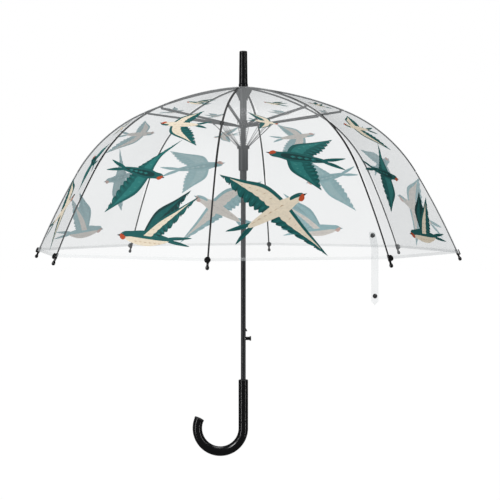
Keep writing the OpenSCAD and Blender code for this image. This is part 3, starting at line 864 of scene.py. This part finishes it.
# %% The strap's path and strip
stud_low, stud_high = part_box("strap_stud")
strap_low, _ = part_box("strap")
STUD_DOWN = RIM - 0.029
STUD_GORE = 4
STUD_SHARE = -0.672
STRAP_HALF = 0.0085
STRAP_WALL = 0.001
stud_side = STUD_SHARE * rib_point(STUD_DOWN)[0] * math.sin(HALF)
outward, sideways = gore_axes(STUD_GORE)
r, z, slope = rib_point(STUD_DOWN)
stud_at = outward * (r * math.cos(HALF)) + sideways * stud_side + Vector((0, 0, z))
gore_slope = math.atan(math.tan(slope) / math.cos(HALF))
down_film = outward * math.cos(gore_slope) - Vector((0, 0, math.sin(gore_slope)))
off_film = outward * math.sin(gore_slope) + Vector((0, 0, math.cos(gore_slope)))
film_lift = FILM_OUT * (math.sin(slope) * math.cos(HALF) * math.sin(gore_slope)
                        + math.cos(slope) * math.cos(gore_slope))
stud_at += off_film * film_lift
stud_centre = (stud_low + stud_high) / 2
print("stud at", [round(x, 4) for x in stud_at], "CAD centre", [round(x, 4) for x in stud_centre])

STRAP_LIFT = 0.0007
ALONG_FILM = (-0.009, -0.006, 0, 0.008, 0.016, 0.024, 0.029)
BEND_AT = 0.031
BEND_DROPS = (0.0012, 0.004)
HANG_STEPS = 16
strap_top = stud_at + off_film * STRAP_LIFT
path = [strap_top + down_film * s for s in ALONG_FILM]
edge = strap_top + down_film * BEND_AT
path += [edge - Vector((0, 0, s)) for s in BEND_DROPS]
hang_z = edge.z - BEND_DROPS[-1]
for i in range(1, HANG_STEPS + 1):
    path.append(Vector((edge.x, edge.y, hang_z - (hang_z - strap_low.z) * i / HANG_STEPS)))
STRAP_SHARES = (-1, -0.85, -0.4, 0, 0.4, 0.85, 1)
points = []
for i, p in enumerate(path):
    left = (path[-1] - p).length
    half = STRAP_HALF
    if left < STRAP_HALF:
        half = math.sqrt(max(STRAP_HALF ** 2 - (STRAP_HALF - left) ** 2, 1e-8))
    if i == 0:
        half = STRAP_HALF * 0.55
    if i == 1:
        half = STRAP_HALF * 0.93
    points += [p + sideways * half * t for t in STRAP_SHARES]
strap = mesh_piece("closing_strap", points, grid_faces(len(path), len(STRAP_SHARES)), CLEAR_VINYL)
bpy.ops.object.select_all(action="DESELECT")
bpy.context.view_layer.objects.active = strap
strap.select_set(True)
wall = strap.modifiers.new("wall", "SOLIDIFY")
wall.thickness = STRAP_WALL
wall.offset = 1.0
bpy.ops.object.modifier_apply(modifier="wall")
set_veil(strap, [(0.10, 0.25)] * len(strap.data.vertices))
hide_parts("strap")
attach(strap, "strap")


# %% The snap at the strap's end
SNAP_ABOVE_END = 0.020


def snap_part(name, centre, axis, radius, height, material):
    """A round snap: a disc with a bevelled edge and a raised ring."""
    bpy.ops.object.select_all(action="DESELECT")
    bpy.ops.mesh.primitive_cylinder_add(vertices=48, radius=radius, depth=height)
    part = bpy.context.object
    part.name = name
    bpy.ops.object.mode_set(mode="EDIT")
    bpy.ops.mesh.select_all(action="DESELECT")
    bpy.ops.object.mode_set(mode="OBJECT")
    for face in part.data.polygons:
        face.select = face.normal.z > 0.9
    bpy.ops.object.mode_set(mode="EDIT")
    bpy.ops.mesh.select_mode(type="FACE")
    bpy.ops.mesh.inset(thickness=radius * 0.18, depth=height * 0.25)
    bpy.ops.mesh.inset(thickness=radius * 0.30, depth=0)
    bpy.ops.mesh.inset(thickness=radius * 0.08, depth=-height * 0.3)
    bpy.ops.object.mode_set(mode="OBJECT")
    soft = part.modifiers.new("soft edge", "BEVEL")
    soft.width = radius * 0.07
    soft.segments = 3
    soft.limit_method = "ANGLE"
    bpy.ops.object.modifier_apply(modifier="soft edge")
    part.data.materials.append(material)
    for face in part.data.polygons:
        face.use_smooth = True
    turn = Vector((0, 0, 1)).rotation_difference(axis).to_matrix().to_4x4()
    part.data.transform(Matrix.Translation(centre) @ turn)
    return part


snap_z = strap_low.z + SNAP_ABOVE_END
front = Vector((edge.x, edge.y, snap_z)) + outward * 0.0018
snap_outer = snap_part("strap_snap_cap", front, outward, 0.0055, 0.0016, GLOSS_BLACK)
back = Vector((edge.x, edge.y, snap_z)) - outward * 0.0007
snap_inner = snap_part("strap_snap_socket", back, -outward, 0.0045, 0.0014, GLOSS_BLACK)
for part in (snap_outer, snap_inner):
    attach(part, "strap")
print("snap at", [round(x, 4) for x in front])

# %% [markdown]
# ## Floor
# The floor lies far below the handle and glows evenly, so the view ends in plain white. It
# is hidden from every bounce of light, so it neither lights the umbrella nor mirrors in it.

# %% The floor
bpy.ops.object.select_all(action="DESELECT")
bpy.ops.mesh.primitive_plane_add(size=60, location=(0, 0, -1.3))
floor = bpy.context.object
floor.name = "floor"
floor_mat = bpy.data.materials.new("pale_floor")
floor_mat.use_nodes = True
paint = floor_mat.node_tree.nodes["Principled BSDF"]
paint.inputs["Base Color"].default_value = (0.02, 0.02, 0.02, 1)
paint.inputs["Roughness"].default_value = 1.0
paint.inputs["Emission Color"].default_value = (1, 1, 1, 1)
paint.inputs["Emission Strength"].default_value = 0.99
floor.data.materials.append(floor_mat)
floor.visible_diffuse = False
floor.visible_glossy = False
